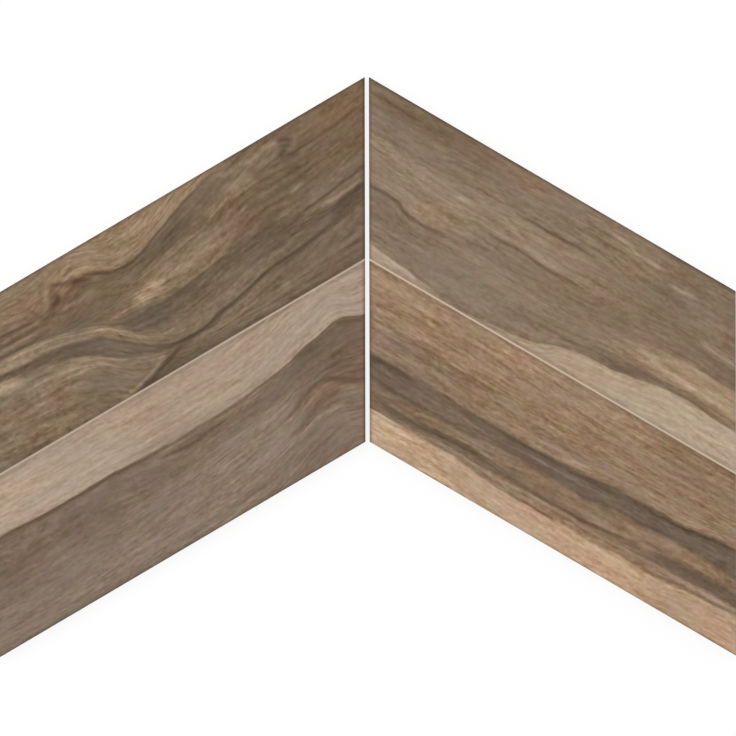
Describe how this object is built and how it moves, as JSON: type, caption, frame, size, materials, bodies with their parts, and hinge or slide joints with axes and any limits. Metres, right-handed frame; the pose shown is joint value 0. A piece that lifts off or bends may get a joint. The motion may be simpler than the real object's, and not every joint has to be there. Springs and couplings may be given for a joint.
{
  "type": "chevron wall tile",
  "caption": "Wood-look porcelain chevron unit: mirrored parallelogram tiles meet across an open joint in a V, each face scored into planks, with a keyed back for adhesive.",
  "frame": {"origin": "middle of the open joint, halfway up the V, on the plane that the tiles' backs lie on", "axes": "+Z out of the printed face, +Y towards the V's point, +X from the left-hand tile to the right-hand tile"},
  "size_m": [0.4684, 0.3686, 0.009],
  "materials": {
    "wood_print_porcelain": "satin wood-print glaze on the face, bare fired body on the ends, edges and back"
  },
  "bodies": {
    "root": {"left_tile": "wood_print_porcelain", "right_tile": "wood_print_porcelain"}
  },
  "joints": []
}
